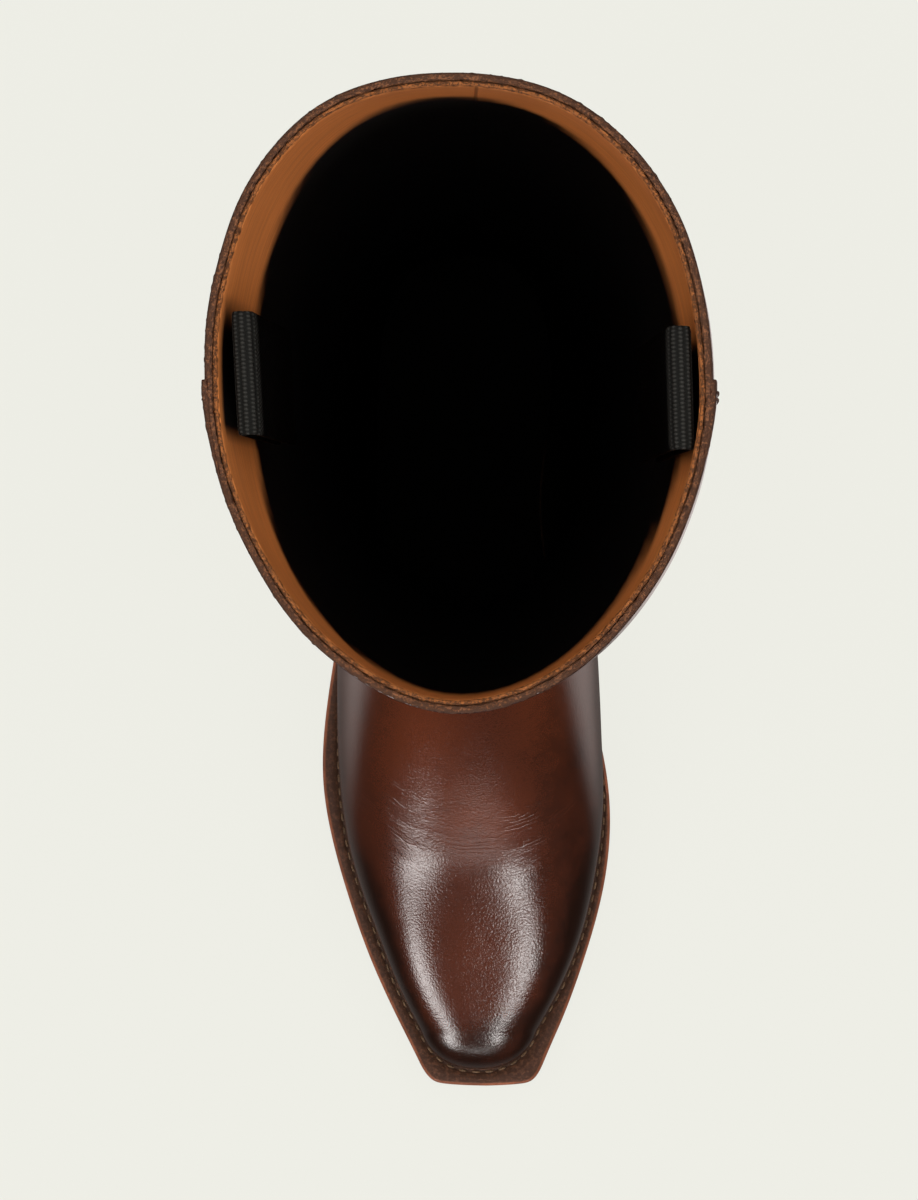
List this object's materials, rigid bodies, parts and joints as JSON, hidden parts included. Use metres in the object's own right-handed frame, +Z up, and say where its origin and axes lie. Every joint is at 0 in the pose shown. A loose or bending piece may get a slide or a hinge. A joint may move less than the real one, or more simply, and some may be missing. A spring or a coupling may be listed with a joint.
{
  "type": "tall boot",
  "caption": "Tall pull-on leather boot for a right foot, with a snip toe, a hollow shaft open at the collar, webbing pull loops, a welted sole and a stacked heel",
  "frame": {"origin": "on the floor under the middle of the boot's box", "axes": "+X to the medial side, +Y to the heel, -Y to the toe, +Z up"},
  "size_m": [0.1058, 0.278, 0.3852],
  "materials": {
    "upper_leather": "polished, burnished darker at the toe and sides",
    "welt_leather": "dyed dark brown, stitched",
    "sole_leather": "edge dyed and waxed",
    "insole_leather": "black sock leather, matt",
    "heel_leather": "stacked, edge dyed and waxed",
    "heel_rubber": "matt",
    "webbing": "woven, ribbed"
  },
  "bodies": {
    "root": {"upper": "upper_leather", "welt": "welt_leather", "outsole": "sole_leather", "insole": "insole_leather", "heel": "heel_leather", "heel_cap": "heel_rubber", "pull_loop_lateral": "webbing", "pull_loop_medial": "webbing"}
  },
  "joints": []
}
